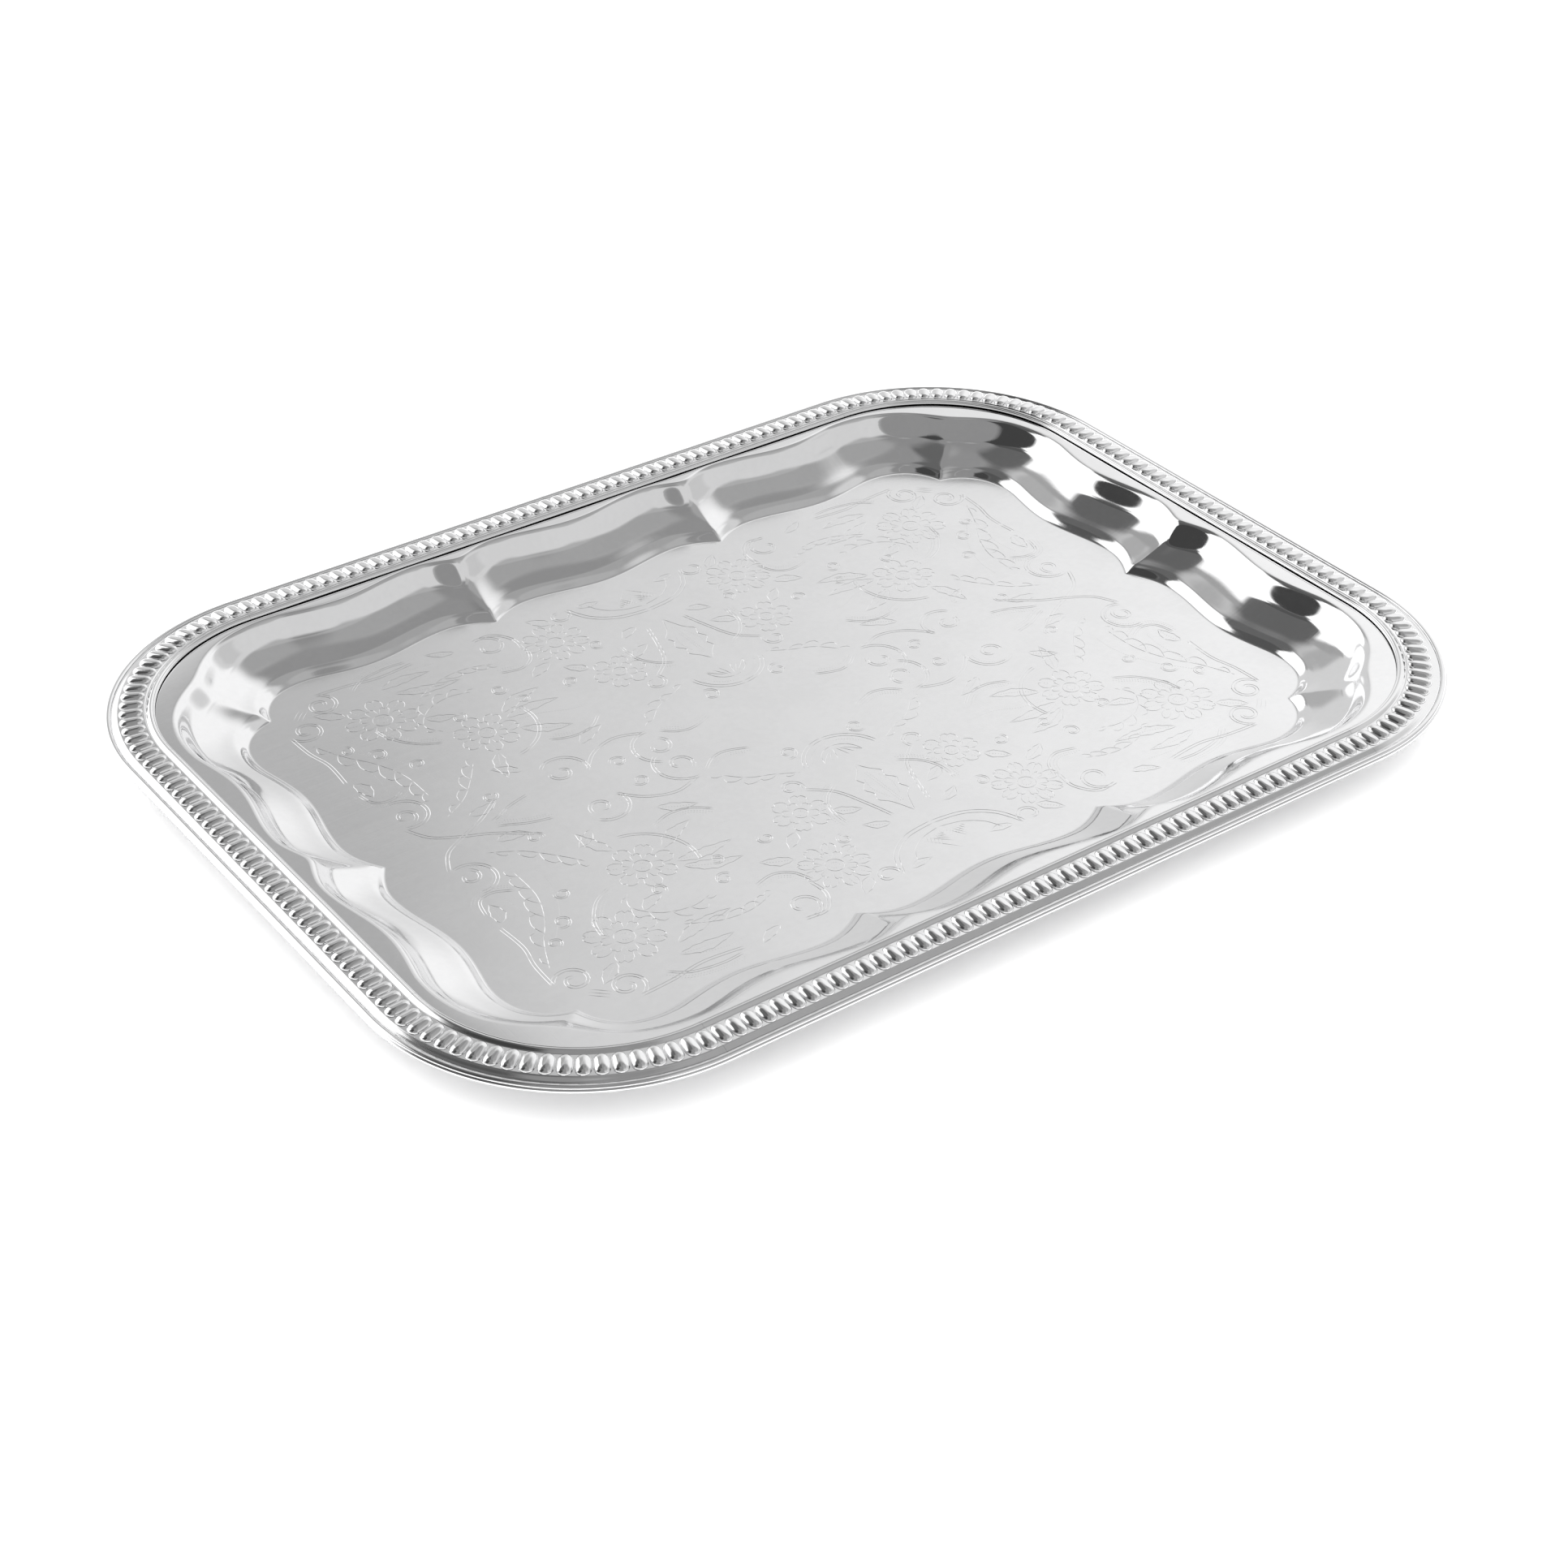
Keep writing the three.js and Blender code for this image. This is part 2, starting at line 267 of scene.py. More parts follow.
def frond(line, reach_out, barbs, side):
    """A stem with curled barbs along one side of it."""
    out = [line]
    along = np.gradient(line, axis=0)
    along /= np.linalg.norm(along, axis=1)[:, None]
    for k in range(barbs):
        i = int((k + 0.6) / barbs * (len(line) - 1))
        forward = along[i]
        across = side * np.array([-forward[1], forward[0]])
        size = reach_out * math.sin(math.pi * (k + 1.2) / (barbs + 1.6))
        p = line[i]
        out.append(flow(p, p + size * (0.45 * forward + 0.5 * across),
                        p + size * (1.05 * forward + 0.62 * across),
                        p + size * (1.3 * forward + 0.25 * across), step=1.2))
    return out


def quarter_pattern():
    """The cuts of one quarter, in x > 0, y > 0, by region from the corner inwards."""
    cuts = []
    # Corner: two volutes with a short bar between them, and the runs that leave them.
    cuts += double(arc(136.5, 82.5, 6.4, -10, -480, 0.22))
    cuts += double(arc(125.0, 93.8, 6.4, 100, 570, 0.22))
    for shift in (-1.0, 0.0, 1.0):
        cuts.append(np.array([[136.2 + shift, 89.6 + shift], [131.0 + shift, 94.6 + shift]]))
    cuts += double(flow((142.8, 81.4), (142.2, 70), (140.2, 60), (141.0, 47)))
    cuts += double(flow((124.0, 100.2), (112, 99.4), (100, 97.6), (86, 99.0)))
    cuts += flower(112.5, 73.5, 13.0, 8, 0.2)
    cuts += leaf((121.5, 82.5), (130.5, 89.5), 2.6)
    cuts += leaf((100.5, 66.0), (90.5, 62.0), 2.4, 1.0)
    # Short side: a frond out of the corner, and the scroll beside the middle cusp.
    cuts += frond(flow((139.5, 74), (134, 62), (127.5, 52), (123, 40), (122.5, 26)), 8.5, 7, 1)
    cuts += dots(flow((137.5, 70), (133, 58), (131, 46), (132, 36)))
    cuts += dots(flow((130, 62), (121, 50), (116.5, 38), (116, 28)))
    cuts += leaf((139.0, 46.0), (137.5, 35.5), 2.8, -0.8)
    cuts += double(arc(134.5, 21.0, 8.2, 75, 300, 0.9))
    cuts += dots(arc(134.5, 21.0, 6.4, 95, 280))
    cuts += double(arc(134.8, 20.0, 4.0, 250, -80, 0.35))
    cuts += double(flow((138.6, 13.9), (134, 5.5), (126, 0.4), (116, -4.5), (106, -12)))
    cuts += leaf((118.0, 8.5), (106.5, 10.5), 2.6, 0.8)
    cuts += frond(flow((124, 12), (114, 18), (106, 27), (101, 34)), 6.5, 5, -1)
    # Side flower with its sprays of pecked leaves.
    cuts += flower(88.0, 46.5, 11.5, 7, 0.5)
    cuts += double(arc(89.0, 48.0, 19.0, 160, 262))
    cuts += leaf((77.5, 54.0), (59.0, 60.5), 2.8, -1.6, 4)
    cuts += leaf((78.0, 50.5), (57.0, 51.0), 2.6, -1.0, 4)
    cuts += leaf((77.5, 42.5), (61.5, 34.5), 2.6, 1.2, 4)
    cuts += leaf((91.0, 34.5), (96.0, 19.5), 2.6, 1.0, 4)
    cuts += dots(flow((75, 47.5), (66, 46), (58, 42.5), (51, 42)))
    cuts += frond(flow((99, 55), (103, 62), (97, 70), (87, 73), (79, 71)), 5.5, 6, -1)
    # Long side: sprays over a volute, the great flower and the volute beside the cusp.
    cuts += leaf((104, 90.5), (84, 91.0), 2.4, -1.0, 4)
    cuts += leaf((101, 85.5), (78, 80.5), 2.6, 1.4, 5)
    cuts += dots(flow((99, 93.5), (90, 95.5), (80, 94.5)))
    cuts += frond(flow((96, 78), (84, 84), (73, 85), (64, 82)), 6.0, 6, 1)
    cuts += double(arc(59.5, 92.5, 6.8, 60, 420, 0.28))
    cuts += double(flow((62.9, 98.4), (55, 98.8), (50.0, 92), (50.5, 84)))
    cuts += leaf((71, 96.5), (80.5, 101.0), 1.9, -0.6)
    cuts += flower(39.0, 81.5, 12.0, 9, 0.1)
    cuts += leaf((47.5, 71.5), (57.5, 66.5), 2.6, 0.6)
    cuts += leaf((33.5, 92.5), (40.5, 99.5), 2.2)
    cuts += flower(31.0, 52.5, 10.0, 6, 0.0)
    cuts += leaf((38.5, 60.0), (45.5, 66.5), 2.2)
    cuts += leaf((22.0, 57.0), (13.0, 62.0), 2.2, -0.6)
    # Middle of the long side: a crested panel, and a tall leaf between two scrolls.
    cuts += double(flow((24.5, 97.6), (20.0, 88.5), (11.5, 82.6), (0.0, 80.8)), 1.5)
    cuts += double(arc(28.6, 95.6, 4.6, 150, 480, 0.3))
    cuts += [flow((0.0, 84.3), (8.0, 86.2), (14.0, 90.5), (17.0, 96.5))]
    cuts += leaf((20.5, 97.0), (11.5, 96.0), 1.7, 0.5, 2)
    cuts.append(np.array([[8.6, 87.6], [0.0, 97.4]]))
    for k in range(1, 6):
        foot = 1.35 * k
        cuts.append(np.array([[foot, 86.9], [0.4, 86.9 + 1.2 * k]]))
        cuts.append(np.array([[foot, 86.9], [foot + 0.5 * (8.6 - foot), 87.6 + 1.1 * (6 - k)]]))
    cuts += [flow((0.0, 40.6), (2.2, 44.5), (5.2, 48.2), (4.2, 51.0), (6.6, 54.2), (5.0, 57.6),
                  (6.2, 61.0), (3.2, 64.6), (0.0, 72.5))]
    cuts += dots(np.array([[0.5, 46.0], [0.5, 66.0]]))
    cuts += dots(flow((2.0, 62), (4.0, 55), (2.8, 49)))
    cuts += double(flow((7.5, 70.5), (10.5, 60), (14.5, 49.5), (22.0, 42.5)))
    cuts += double(arc(25.2, 39.4, 4.4, 130, 460, 0.3))
    cuts += leaf((10.5, 73.5), (19.0, 69.0), 2.0, 0.8, 2)
    # Inner field: a bowl on the centre line and open scrolls to each side of it.
    cuts += double(arc(0.0, 36.6, 14.6, -90, -12), 1.3)
    cuts += dots(arc(0.0, 36.6, 12.0, -88, -22))
    cuts += [arc(0.0, 34.8, 7.6, -90, 8)]
    for k in range(3):
        cuts.append(flow((0.6 + k, 28.8 + 0.4 * k), (1.6 + 2.0 * k, 32.2), (2.4 + 2.6 * k, 34.6)))
    cuts += frond(flow((17.0, 34), (25, 29.5), (33, 26), (40, 19)), 5.5, 5, 1)
    cuts += double(arc(45.5, 5.5, 10.5, 95, -60, 0.85))
    cuts += double(arc(46.4, 6.2, 5.2, 120, 420, 0.3))
    cuts += double(flow((46.0, 16.0), (56, 19), (66, 15.5), (73, 8)))
    cuts += double(arc(80.0, 12.5, 9.0, 210, 40, 0.8))
    cuts += double(arc(80.5, 12.0, 4.4, 20, -300, 0.3))
    cuts += dots(arc(80.0, 12.5, 6.6, 200, 60))
    cuts += leaf((66.5, 22.5), (54.0, 28.5), 2.4, -0.8)
    cuts += leaf((90.5, 20.5), (99.0, 27.0), 2.2, 0.6)
    # Trailing stems with pecked edges, and small volutes in the open places.
    for anchors, side in ((((141, 40), (139, 33), (133.5, 31), (127, 34)), 1),
                          (((112, 95), (106, 99.5), (96, 101.5), (88, 101)), -1),
                          (((66, 76), (58, 74), (52, 77), (49, 84)), -1),
                          (((103, 50), (110, 54), (116, 62), (118, 70)), 1),
                          (((52, 34), (58, 29), (66, 28), (74, 31)), 1),
                          (((12, 46), (18, 50), (22, 57), (22, 66)), -1),
                          (((22, 12), (30, 9), (36, 10), (41, 14)), 1),
                          (((96, 8), (104, 6), (110, 3), (114, 1.5)), -1)):
        stem = flow(*anchors)
        cuts += double(stem, 0.9)
        cuts += dots(beside(stem, 1.7 * side)) + dots(beside(stem, 2.7 * side)[2:-2])
    for x, y, size, turn in ((124, 56, 3.4, 40), (71, 67, 3.2, 200), (91, 60, 2.8, 120),
                             (48, 57, 3.0, 300), (14, 22, 3.6, 60), (62, 6.5, 3.2, 10),
                             (107, 14, 3.0, 150), (28, 72, 2.8, 250), (131.5, 64, 2.6, 90),
                             (67, 57, 2.6, 20), (116, 44, 2.8, 330)):
        cuts += double(arc(x, y, size, turn, turn + 400, 0.25), 0.8)
    return cuts


def all_cuts():
    """The quarter's cuts mirrored into all four quarters."""
    cuts = []
    for sign_x, sign_y in ((1, 1), (-1, 1), (1, -1), (-1, -1)):
        cuts += [cut * [sign_x, sign_y] for cut in quarter_pattern()]
    return cuts


def engraved_floor(outline):
    """The well's floor as flat facets, with every cut sunk in as a V-shaped groove."""
    points = outline.tolist()
    edges = [(i, (i + 1) % len(points)) for i in range(len(points))]
    samples, sample_depths = [], []
    for cut in all_cuts():
        seg = np.linalg.norm(np.diff(cut, axis=0), axis=1)
        at = np.concatenate([[0], np.cumsum(seg)])
        share = np.minimum(1, np.minimum(at, at[-1] - at) / min(CUT_TAPER, at[-1] / 2))
        if len(cut) == 2:
            cut = np.array([cut[0], cut.mean(0), cut[1]])
            at = np.array([0, at[-1] / 2, at[-1]])
            share = np.array([0, 1, 0])
        share[1:-1] = np.maximum(share[1:-1], CUT_LEAST)
        first = len(points)
        points += [cut[0].tolist(), cut[-1].tolist()]
        across = beside(cut, CUT_HALF_WIDTH) - cut
        for side in (-1, 0, 1):
            line = cut + side * share[:, None] * across
            start = len(points)
            points += line[1:-1].tolist()
            chain = [first, *range(start, len(points)), first + 1]
            edges += list(zip(chain[:-1], chain[1:]))
        fine = np.arange(0, at[-1], DEPTH_STEP)
        samples.append(np.stack([np.interp(fine, at, cut[:, k]) for k in (0, 1)], 1))
        sample_depths.append(np.interp(fine, at, share))
    found, _, triangles, _, _, _ = delaunay_2d_cdt([Vector(p) for p in points], edges, [], 1,
                                                   MERGE_WITHIN)
    samples, sample_depths = np.concatenate(samples), np.concatenate(sample_depths)
    tree = KDTree(len(samples))
    for i, (x, y) in enumerate(samples):
        tree.insert((x, y, 0), i)
    tree.balance()
    heights = np.full(len(found), SHEET)
    for i, p in enumerate(found):
        _, nearest, away = tree.find((p.x, p.y, 0))
        half = CUT_HALF_WIDTH * sample_depths[nearest]
        if away < half * 0.95:
            heights[i] -= CUT_DEPTH * sample_depths[nearest] * (1 - away / half)
    flat = np.array([[p.x, p.y] for p in found])
    turned = []
    for a, b, c in triangles:
        ab, ac = flat[b] - flat[a], flat[c] - flat[a]
        turned.append([a, b, c] if ab[0] * ac[1] > ab[1] * ac[0] else [a, c, b])
    return np.column_stack([flat, heights]), turned


# ---- Tray sheet ------------------------------------------------------------------------

BAY_STATIONS = 66
CUSP_CROWDING = 0.11           # draws the stations of a bay in towards its cusps
WALL_ROWS = 46
# Slope of the wall at distances out from its foot: a low step up from the well, a wide
# gentle hollow, a steeper band, and a turn over onto the flange.
WALL_BENDS = [(0, 0), (1.5, 0.75), (6.0, 0.24), (15.0, 0.43), (20.5, 1.35), (24.3, 0)]
NOSE = [(0, 0.45), (0.5, 1.5), (1, 4.2)]       # rounding of the cusps on the way up


def smooth_through(knots, x):
    """Values at x on a line through the knots that is level at each of them."""
    at, values = np.array(knots, float).T
    i = np.clip(np.searchsorted(at, x, side="right") - 1, 0, len(at) - 2)
    share = np.clip((x - at[i]) / (at[i + 1] - at[i]), 0, 1)
    return values[i] + (values[i + 1] - values[i]) * share * share * (3 - 2 * share)


def wall_section():
    """Distances out from the foot, and the wall's heights there."""
    fine = np.linspace(0, WALL_BENDS[-1][0], 600)
    slope = smooth_through(WALL_BENDS, fine)
    height = np.concatenate([[0], np.cumsum((slope[1:] + slope[:-1]) / 2 * np.diff(fine))])
    height *= (FLANGE_TOP - SHEET) / height[-1]
    bend = np.abs(np.gradient(slope, fine)) + 0.06
    spread = np.concatenate([[0], np.cumsum((bend[1:] + bend[:-1]) / 2)])
    out = np.interp(np.linspace(0, spread[-1], WALL_ROWS), spread, fine)
    return out, np.interp(out, fine, height)


def build_tray(material):
    t = np.arange(BAY_STATIONS) / BAY_STATIONS
    t = t - CUSP_CROWDING * np.sin(2 * math.pi * t)
    s = np.concatenate([(bay - 0.5 + t) * BAY for bay in range(10)])
    count = len(s)
    x, y, normal_x, normal_y = on_frame(well_frame, s)
    rows = []
    for run, height in zip(*wall_section()):
        nose = np.interp(run / WALL_BENDS[-1][0], *zip(*NOSE))
        out = swell(s, nose) + run
        height = np.full(count, SHEET + height)
        rows.append(np.stack([x + normal_x * out, y + normal_y * out, height], 1))
    for inset in (BORDER_WIDTH - 4.5, BORDER_WIDTH / 2, FLANGE_INSET):
        out = reach(x, y, normal_x, normal_y, inset_frame(inset))
        height = np.full(count, FLANGE_TOP - FLANGE_SLOPE * (BORDER_WIDTH - inset))
        rows.append(np.stack([x + normal_x * out, y + normal_y * out, height], 1))
    top = np.array(rows)
    along = np.roll(top, -1, axis=1) - np.roll(top, 1, axis=1)
    outward = np.gradient(top, axis=0)
    normal = np.cross(along, outward)
    normal /= np.linalg.norm(normal, axis=2, keepdims=True)
    normal[0] = (0, 0, 1)
    normal[-1] = normal[-2]
    # The underside has the flange's rows and every third row of the wall.
    under = (top - SHEET * normal)[::-1]
    under = np.concatenate([under[:3], under[3:-1:3], under[-1:]])
    under[-1, :, 2] = tray_low.z / MM
    floor_points, floor_faces = engraved_floor(top[0, :, :2])
    first = len(floor_points)
    rings = np.concatenate([top, under])
    points = np.concatenate([floor_points, rings.reshape(-1, 3), [[0, 0, tray_low.z / MM]]])
    faces = floor_faces + ring_faces(first, len(rings), count)
    last_ring = first + (len(rings) - 1) * count
    i = np.arange(count)
    middle = np.full(count, len(points) - 1)
    base = np.stack([last_ring + i, last_ring + (i + 1) % count, middle], 1)
    tray = make_piece("tray_sheet", points, faces + base.tolist(), material,
                      "tray_body", flat_faces=len(floor_faces))
    weld(tray)
    return tray


def weld(piece):
    """Joins the floor's rim to the wall's first row, where the two lie on each other."""
    shape = bmesh.new()
    shape.from_mesh(piece.data)
    rims = [vert for vert in shape.verts if vert.is_boundary]
    bmesh.ops.remove_doubles(shape, verts=rims, dist=RIM_TOLERANCE)
    shape.to_mesh(piece.data)
    shape.free()


# ---- Gadroon border --------------------------------------------------------------------

BEAD_OUTER, BEAD_INNER = 5.1, 13.3
BEAD_MIDDLE = (BEAD_OUTER + BEAD_INNER) / 2
BEAD_HALF = (BEAD_INNER - BEAD_OUTER) / 2
BEAD_SQUARENESS = 3.6          # power of a bead's outline in plan; 2 would be an ellipse
BEAD_FILL = 0.95               # share of the pitch that a bead takes up
BEAD_END = 0.16                # share of that left at the very end of a bead
PLAIN_FILL = 0.86              # the same columns along the plain mouldings
BEAD_COLUMNS = np.sin(math.pi / 2 * np.linspace(-1, 1, 11))
BEAD_ROWS = np.sin(math.pi / 2 * np.linspace(-1, 1, 17))
# Plain mouldings outside and inside the beads: distance from the outer edge, and
# height above the border's underside.
OUTER_MOULDING = [(FLANGE_INSET - 0.2, 0.02), (3.2, 0.08), (3.7, 0.27), (4.3, 0.55), (4.9, GROUND)]
INNER_MOULDING = [(13.45, GROUND), (13.7, 0.36), (13.95, 0.3), (14.3, 0.48), (14.9, 0.9),
                  (15.25, 1.07), (15.55, 1.1), (15.85, 1.04), (16.1, 0.9), (16.25, 0.78),
                  (16.4, 0.84), (16.7, 0.78), (16.9, 0.6)]


def border_under(inset):
    return FLANGE_TOP - FLANGE_SLOPE * (BORDER_WIDTH - inset) + BORDER_LIFT


BEAD_HEIGHT = BEAD_TOP - border_under(BEAD_INNER - 2) - GROUND


def build_border(name, node, start, length, beads, material):
    """One length of the border. Columns follow each bead's outline, so its edge is crisp."""
    pitch = (length - 2 * HAIRLINE) / beads
    middles = start + HAIRLINE + pitch * (np.arange(beads) + 0.5)
    insets = [inset for inset, _ in OUTER_MOULDING]
    insets += (BEAD_MIDDLE + BEAD_HALF * BEAD_ROWS).tolist()
    insets += [inset for inset, _ in INNER_MOULDING] + [BORDER_WIDTH]
    outer = inset_frame(0)
    rows = []
    for inset in insets:
        y = (inset - BEAD_MIDDLE) / BEAD_HALF
        inside = max(0.0, 1 - abs(y) ** BEAD_SQUARENESS)
        half = BEAD_FILL * max(math.sqrt(inside), BEAD_END)
        if abs(y) > 1:
            half += (PLAIN_FILL - half) * min(1, (abs(y) - 1) * 4)
        columns = np.concatenate([[-1], half * BEAD_COLUMNS])
        s = (middles[:, None] + pitch / 2 * columns).ravel()
        s = np.append(s, start + length - HAIRLINE)
        crown = np.concatenate([[0], np.sqrt(np.maximum(1 - BEAD_COLUMNS ** 2, 0))])
        lift = BEAD_HEIGHT * inside ** 0.5 * np.append(np.tile(crown, beads), 0)
        ground = np.interp(inset, *zip(*OUTER_MOULDING, *INNER_MOULDING, (BORDER_WIDTH, 0.3)))
        px, py, nx, ny = on_frame(outer, s)
        height = border_under(inset) + ground + lift
        rows.append(np.stack([px - nx * inset, py - ny * inset, height], 1))
    for inset in (BORDER_WIDTH, insets[0]):
        height = np.full(len(s), border_under(inset))
        rows.append(np.stack([px - nx * inset, py - ny * inset, height], 1))
    count = len(s)
    faces = []
    for row in range(len(rows)):
        a = row * count
        b = (row + 1) % len(rows) * count
        i = np.arange(count - 1)
        faces += np.stack([a + i, b + i, b + i + 1, a + i + 1], 1).tolist()
    section = [row * count for row in range(len(rows))]
    faces += [section[::-1], [corner + count - 1 for corner in section]]
    return make_piece(name, np.concatenate(rows), faces, material, node)


# ---- Edge wire -------------------------------------------------------------------------

# Section of the wire: distance from the outer edge, and share of its height.
WIRE_SECTION = [(2.6, 0.62), (2.52, 0.80), (2.3, 0.91), (1.95, 0.98), (1.55, 1.0), (1.15, 0.96),
                (0.85, 0.87), (0.65, 0.76), (0.58, 0.66), (0.62, 0.60), (0.55, 0.55), (0.3, 0.53),
                (0.1, 0.49), (0.0, 0.41), (0.0, 0.26), (0.12, 0.11), (0.5, 0.0), (1.9, 0.0),
                (2.45, 0.12), (2.6, 0.3)]
CORNER_STATIONS = 48


def build_wire(name, node, start, material):
    """One half of the edge wire, round two corners, from joint to joint."""
    half_x, half_y, radius = inset_frame(0)
    straight_x, straight_y, turn = half_x - radius, half_y - radius, radius * math.pi / 2
    half = 2 * (straight_x + straight_y + turn)
    s = [HAIRLINE, *np.linspace(straight_x, straight_x + turn, CORNER_STATIONS),
         *np.linspace(half - straight_x - turn, half - straight_x, CORNER_STATIONS),
         half - HAIRLINE]
    x, y, normal_x, normal_y = on_frame(inset_frame(0), start + np.array(s))
    rows = []
    for inset, share in WIRE_SECTION:
        height = np.full(len(s), WIRE_BOTTOM + share * (WIRE_TOP - WIRE_BOTTOM))
        rows.append(np.stack([x - normal_x * inset, y - normal_y * inset, height], 1))
    count = len(s)
    i = np.arange(count - 1)
    faces = []
    for row in range(len(rows)):
        a, b = row * count, (row + 1) % len(rows) * count
        faces += np.stack([a + i, a + i + 1, b + i + 1, b + i], 1).tolist()
    section = [row * count for row in range(len(rows))]
    faces += [section, [corner + count - 1 for corner in reversed(section)]]
    return make_piece(name, np.concatenate(rows), faces, material, node)


# ---- Materials -------------------------------------------------------------------------

PLATE_TONE = (0.90, 0.90, 0.905)
HANDLED_SHADE = 0.965          # of the tone, where the plate has been handled
MARKS = (0.35, 0.65)           # range of the noise that the marks spread over
# Directions of the wiping scratches: turn and stretch of the noise they come from.
WIPES = ((0.35, (1, 24, 1)), (-0.9, (30, 1, 1)), (1.45, (1, 40, 1)))


class Nodes:
    """Short calls for building a node tree."""

    def __init__(self, tree):
        self.tree = tree
        tree.nodes.clear()

    def add(self, kind, **values):
        node = self.tree.nodes.new(kind)
        for name, value in values.items():
            setattr(node, name, value)
        return node

    def link(self, source, target):
        if isinstance(source, bpy.types.NodeSocket):
            self.tree.links.new(source, target)
        else:
            target.default_value = source

    def math(self, operation, *inputs):
        node = self.add("ShaderNodeMath", operation=operation)
        for source, target in zip(inputs, node.inputs):
            self.link(source, target)
        return node.outputs[0]

    def mapped(self, value, from_min, from_max, to_min, to_max, smooth=True):
        node = self.add("ShaderNodeMapRange")
        node.interpolation_type = "SMOOTHSTEP" if smooth else "LINEAR"
        for source, target in zip((value, from_min, from_max, to_min, to_max), node.inputs):
            self.link(source, target)
        return node.outputs[0]

    def noise(self, vector, scale, detail=2.0, stretch=(1, 1, 1), turn=0.0):
        mapping = self.add("ShaderNodeMapping")
        mapping.inputs["Rotation"].default_value = (0, 0, turn)
        mapping.inputs["Scale"].default_value = stretch
        self.link(vector, mapping.inputs["Vector"])
        node = self.add("ShaderNodeTexNoise")
        node.inputs["Scale"].default_value = scale
        node.inputs["Detail"].default_value = detail
        self.link(mapping.outputs[0], node.inputs["Vector"])
        return node.outputs[0]


def plated_metal(name, roughness, scratches, waviness, satin=None):
    """Bright plate: faint handling marks in the gloss, fine wiping scratches, slow waves.

    Roughness is a range, and scratches and waviness are depths in metres. With a satin
    roughness, level ground at the well and the base is satin with a fine grain along the
    tray, and only the wall, the flange and the engraved cuts are bright."""
    material = bpy.data.materials.new(name)
    material.use_nodes = True
    nodes = Nodes(material.node_tree)
    place = nodes.add("ShaderNodeTexCoord").outputs["Object"]
    shader = nodes.add("ShaderNodeBsdfPrincipled")
    shader.inputs["Metallic"].default_value = 1.0
    handled = nodes.noise(place, 38, 3)
    fine = nodes.noise(place, 420, 2)
    marks = nodes.math("ADD", nodes.math("MULTIPLY", handled, 0.65),
                       nodes.math("MULTIPLY", fine, 0.35))
    gloss = nodes.mapped(marks, *MARKS, *roughness)
    if satin:
        z = nodes.add("ShaderNodeSeparateXYZ")
        nodes.link(place, z.inputs[0])
        z = nodes.math("MULTIPLY", z.outputs[2], 1 / MM)
        on_well = nodes.math("MULTIPLY", nodes.mapped(z, SHEET - 0.02, SHEET - 0.006, 0, 1),
                             nodes.mapped(z, SHEET + 0.02, SHEET + 0.3, 1, 0))
        level = nodes.math("MAXIMUM", on_well, nodes.mapped(z, 0.02, 0.1, 1, 0))
        grain = nodes.noise(place, 30, 2, (1, 90, 1))
        dull = nodes.mapped(grain, *MARKS, satin * 0.9, satin * 1.1)
        soften = nodes.add("ShaderNodeMix", data_type="FLOAT")
        for source, target in zip((level, gloss, dull), (0, 2, 3)):
            nodes.link(source, soften.inputs[target])
        gloss = soften.outputs[0]
    nodes.link(gloss, shader.inputs["Roughness"])
    blend = nodes.add("ShaderNodeMix", data_type="RGBA")
    nodes.link(nodes.mapped(marks, *MARKS, 0, 1), blend.inputs[0])
    blend.inputs[6].default_value = (*[c * HANDLED_SHADE for c in PLATE_TONE], 1)
    blend.inputs[7].default_value = (*PLATE_TONE, 1)
    nodes.link(blend.outputs[2], shader.inputs["Base Color"])
    streaks = []
    for turn, stretch in WIPES:
        streak = nodes.noise(place, 60, 1, stretch, turn)
        streaks.append(nodes.mapped(streak, 0.62, 0.74, 0, 1))
    scratched = nodes.math("MAXIMUM", nodes.math("MAXIMUM", streaks[0], streaks[1]), streaks[2])
    slow = nodes.noise(place, 16, 1)
    waves = nodes.add("ShaderNodeBump")
    waves.inputs["Strength"].default_value = 1.0
    waves.inputs["Distance"].default_value = waviness
    nodes.link(slow, waves.inputs["Height"])
    fine_bump = nodes.add("ShaderNodeBump", invert=True)
    fine_bump.inputs["Strength"].default_value = 1.0
    fine_bump.inputs["Distance"].default_value = scratches
    nodes.link(scratched, fine_bump.inputs["Height"])
    nodes.link(waves.outputs[0], fine_bump.inputs["Normal"])
    nodes.link(fine_bump.outputs[0], shader.inputs["Normal"])
    output = nodes.add("ShaderNodeOutputMaterial")
    nodes.link(shader.outputs[0], output.inputs["Surface"])
    return material


tray_plate = plated_metal("bright_plate_tray", (0.05, 0.085), 1.2e-6, 2.0e-5, satin=0.16)
border_plate = plated_metal("bright_plate_border", (0.07, 0.12), 1.5e-6, 1.0e-5)
edge_plate = plated_metal("bright_plate_edge", (0.08, 0.13), 2.0e-6, 1.0e-5)

# ---- Pieces ----------------------------------------------------------------------------

build_tray(tray_plate)

outer_x, outer_y, outer_radius = inset_frame(0)
LONG_SIDE = 2 * (outer_x - outer_radius)
SHORT_SIDE = 2 * (outer_y - outer_radius)
CORNER = outer_radius * math.pi / 2
BORDER_LENGTHS = [("back", LONG_SIDE, 50), ("corner_back_right", CORNER, 20),
                  ("right", SHORT_SIDE, 30), ("corner_front_right", CORNER, 20),
                  ("front", LONG_SIDE, 50), ("corner_front_left", CORNER, 20),
                  ("left", SHORT_SIDE, 30), ("corner_back_left", CORNER, 20)]
place_along = -LONG_SIDE / 2
for side, length, beads in BORDER_LENGTHS:
    build_border("gadroon_" + side, "border_" + side, place_along, length, beads, border_plate)
    place_along += length

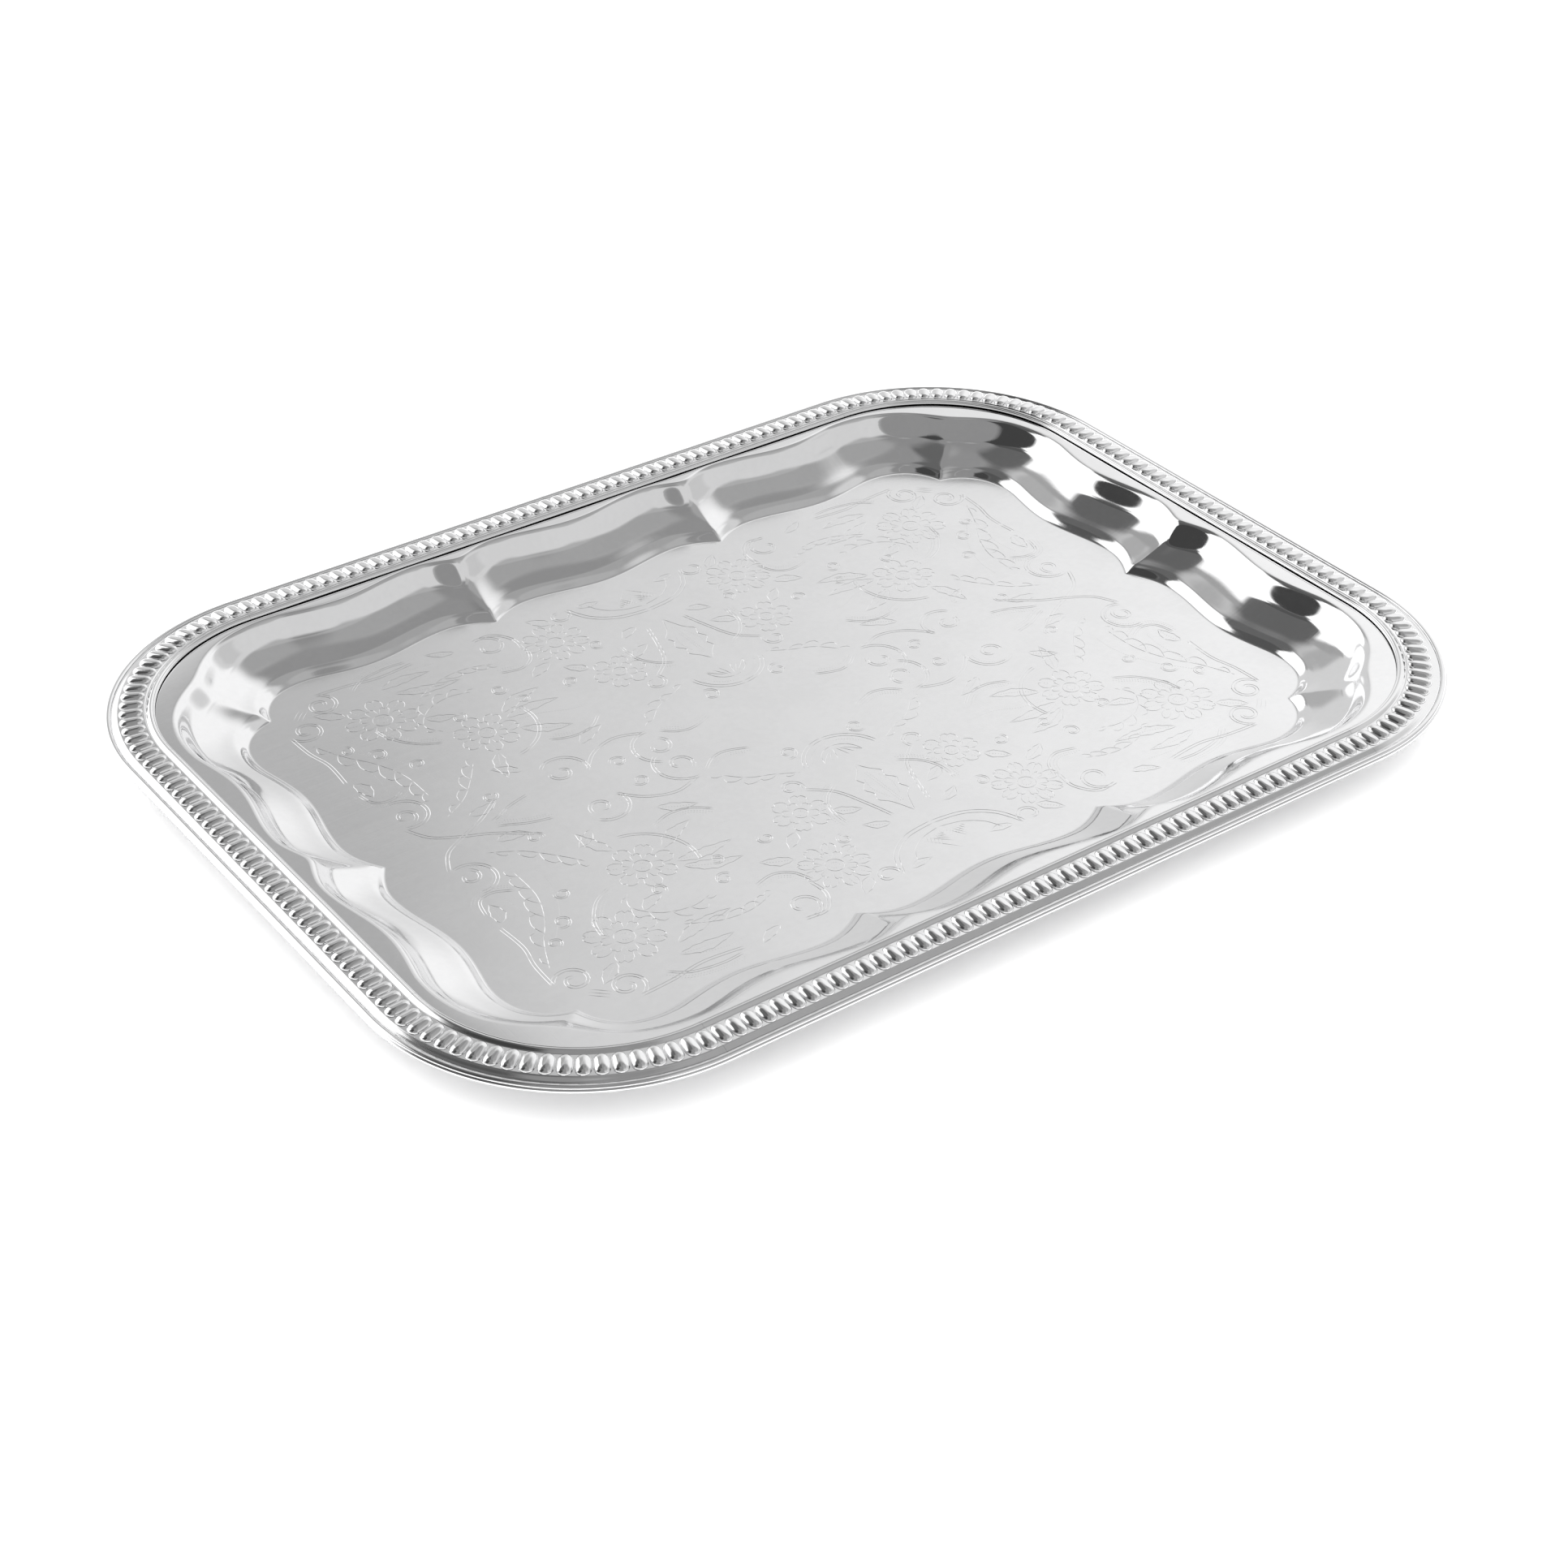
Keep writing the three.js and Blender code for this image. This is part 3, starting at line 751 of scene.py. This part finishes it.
build_wire("wire_right", "edge_wire_right", 0, edge_plate)
build_wire("wire_left", "edge_wire_left", LONG_SIDE + SHORT_SIDE + 2 * CORNER, edge_plate)

# ---- Floor, light and surroundings -----------------------------------------------------

REFLECTANCE = 0.9              # of the plate
FLOOR_HALF_SIZE = 40.0
FLOOR_Z = -0.0002              # just under the tray
SURROUNDINGS = 208             # level that shows in a mirror where there is no panel


def linear(shown):
    """Light level that shows as a value from 0 to 255."""
    return ((shown / 255 + 0.055) / 1.055) ** 2.4


def build_floor():
    mesh = bpy.data.meshes.new("floor")
    corners = [(x * FLOOR_HALF_SIZE, y * FLOOR_HALF_SIZE, FLOOR_Z)
               for x, y in ((-1, -1), (1, -1), (1, 1), (-1, 1))]
    mesh.from_pydata(corners, [], [(0, 1, 2, 3)])
    material = bpy.data.materials.new("floor_paper")
    material.use_nodes = True
    shader = material.node_tree.nodes["Principled BSDF"]
    shader.inputs["Base Color"].default_value = (0.9, 0.9, 0.9, 1)
    shader.inputs["Roughness"].default_value = 0.9
    shader.inputs["Specular IOR Level"].default_value = 0.1
    mesh.materials.append(material)
    floor = bpy.data.objects.new("floor", mesh)
    bpy.context.scene.collection.objects.link(floor)


# Soft-edged panels round a studio. Each has its azimuth from +Y towards +X, its elevation,
# the level it shows at in a mirror, and the widths of its soft edges across and up.
PANELS = [
    ((-181, 181), (62, 91), 138, 12, 14),
    ((-181, -98), (26, 75), 140, 14, 10),
    ((-102, -52), (26, 75), 64, 10, 5),
    ((-54, -24), (48, 75), 82, 8, 6),
    ((-28, 31), (49, 74), 98, 10, 8),
    ((28, 62), (48, 75), 142, 12, 8),
    ((58, 120), (48, 75), 160, 14, 8),
    ((114, 150), (50, 75), 172, 14, 12),
    ((12, 28.5), (31, 46), 172, 5, 5),
    ((4, 14), (28, 51), 160, 3, 4),
    ((40, 75), (5, 45), 246, 22, 8),
    ((58, 88), (6, 38), 246, 8, 8),
    ((96, 118), (14, 34), 196, 8, 6),
    ((-56, -40), (3, 46), 275, 4, 4),
    ((-43, 6.5), (3, 51), 275, 4, 3),
]


def build_world():
    """The panels laid over the even surroundings, each later one over those before it."""
    world = bpy.data.worlds.new("studio")
    bpy.context.scene.world = world
    world.use_nodes = True
    nodes = Nodes(world.node_tree)
    direction = nodes.add("ShaderNodeSeparateXYZ")
    nodes.link(nodes.add("ShaderNodeTexCoord").outputs["Generated"], direction.inputs[0])
    x, y, z = direction.outputs
    azimuth = nodes.math("MULTIPLY", nodes.math("ARCTAN2", x, y), 180 / math.pi)
    elevation = nodes.math("MULTIPLY", nodes.math("ARCSINE", z), 180 / math.pi)
    level = linear(SURROUNDINGS) / REFLECTANCE
    for (left, right), (bottom, top), shown, soft_across, soft_up in PANELS:
        edges = [(azimuth, left, soft_across), (azimuth, right, -soft_across),
                 (elevation, bottom, soft_up), (elevation, top, -soft_up)]
        mask = None
        for value, edge, soft in edges:
            inside = nodes.mapped(value, edge - soft / 2, edge + soft / 2, 0, 1)
            mask = inside if mask is None else nodes.math("MULTIPLY", mask, inside)
        blend = nodes.add("ShaderNodeMix", data_type="FLOAT")
        nodes.link(mask, blend.inputs[0])
        nodes.link(level, blend.inputs[2])
        nodes.link(linear(shown) / REFLECTANCE, blend.inputs[3])
        level = blend.outputs[0]
    background = nodes.add("ShaderNodeBackground")
    background.inputs["Color"].default_value = (1, 1, 1, 1)
    nodes.link(level, background.inputs["Strength"])
    output = nodes.add("ShaderNodeOutputWorld")
    nodes.link(background.outputs[0], output.inputs["Surface"])


def build_soft_light(name, energy, spread, azimuth, elevation):
    """A large distant light. It stays out of the mirror, which has its own surroundings."""
    light = bpy.data.lights.new(name, "SUN")
    light.energy = energy
    light.angle = math.radians(spread)
    lamp = bpy.data.objects.new(name, light)
    azimuth, elevation = math.radians(azimuth), math.radians(elevation)
    toward = Vector((math.sin(azimuth), math.cos(azimuth), math.tan(elevation)))
    lamp.rotation_euler = toward.to_track_quat("Z", "Y").to_euler()
    lamp.visible_glossy = False
    bpy.context.scene.collection.objects.link(lamp)


# ---- Camera ----------------------------------------------------------------------------

CAMERA_TURN, CAMERA_HEIGHT, CAMERA_ROLL = -0.6298, 0.6031, 0.0015    # radians
CAMERA_DISTANCE = 0.93738
CAMERA_TARGET = Vector((-0.03627, -0.05068, 0.0132))
LENS = 67.69


def build_camera():
    level = math.cos(CAMERA_HEIGHT)
    back = Vector((math.sin(CAMERA_TURN) * level, -math.cos(CAMERA_TURN) * level,
                   math.sin(CAMERA_HEIGHT)))
    right = Vector((math.cos(CAMERA_TURN), math.sin(CAMERA_TURN), 0))
    up = back.cross(right)
    cos_roll, sin_roll = math.cos(CAMERA_ROLL), math.sin(CAMERA_ROLL)
    right, up = cos_roll * right + sin_roll * up, -sin_roll * right + cos_roll * up
    place = CAMERA_TARGET + back * CAMERA_DISTANCE
    data = bpy.data.cameras.new("camera")
    data.sensor_width = 36
    data.lens = LENS
    camera = bpy.data.objects.new("camera", data)
    camera.matrix_world = Matrix((
        (right.x, up.x, back.x, place.x),
        (right.y, up.y, back.y, place.y),
        (right.z, up.z, back.z, place.z),
        (0, 0, 0, 1)))
    bpy.context.scene.collection.objects.link(camera)
    bpy.context.scene.camera = camera


build_floor()
build_world()
build_soft_light("key", 0.8, 88, -30, 60)
build_soft_light("fill", 4.4, 160, 0, 85)
build_camera()
bpy.context.scene.view_settings.view_transform = "Standard"
